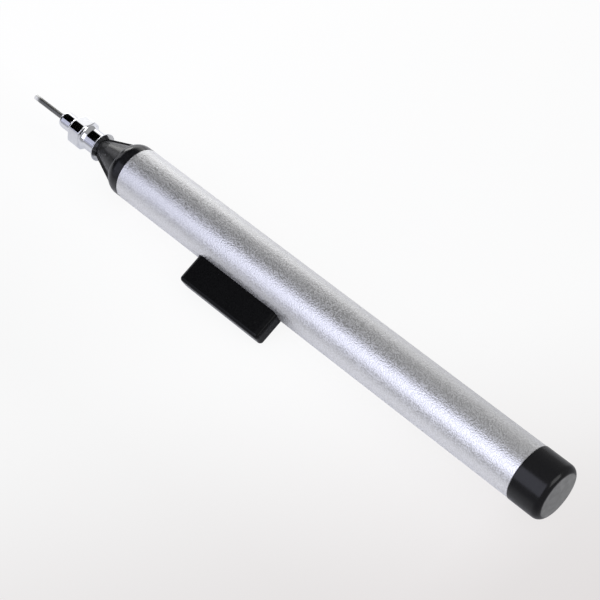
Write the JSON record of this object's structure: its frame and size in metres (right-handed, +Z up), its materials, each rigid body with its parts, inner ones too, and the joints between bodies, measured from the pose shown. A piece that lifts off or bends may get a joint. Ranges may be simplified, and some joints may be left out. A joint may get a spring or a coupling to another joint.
{
  "type": "vacuum pick up pen",
  "caption": "Hand-held vacuum pick up pen: a tube barrel with a side squeeze button, a tapered nose, and a needle on a push-on hub that takes suction cups.",
  "frame": {"origin": "on the table under the middle of the pen's box, with the pen lying on its barrel, cap and button edge", "axes": "+X along the pen towards the rear cap, +Z up from the table, button on the -Y side"},
  "size_m": [0.1741, 0.0209, 0.0142],
  "materials": {
    "blasted_aluminium": "bead blasted and silver anodised",
    "black_nose": "gloss moulded",
    "chrome_plate": "polished plating",
    "stainless_tube": "drawn tube",
    "black_button": "satin moulded",
    "black_rubber": "matte moulded",
    "black_cap": "gloss moulded"
  },
  "bodies": {
    "pen_body": {"barrel": "blasted_aluminium", "nose_cone": "black_nose", "needle_hub": "chrome_plate", "needle": "stainless_tube", "bladder": "black_rubber", "rear_cap": "black_cap"},
    "press_button": {"button": "black_button"}
  },
  "joints": [
    {"name": "button_press", "type": "slide", "parent": "pen_body", "child": "press_button", "axis": [0, 0.9343, 0.3564], "range_m": [0, 0.003], "stiffness_N_per_m": 900, "deforming": ["bladder"]}
  ]
}
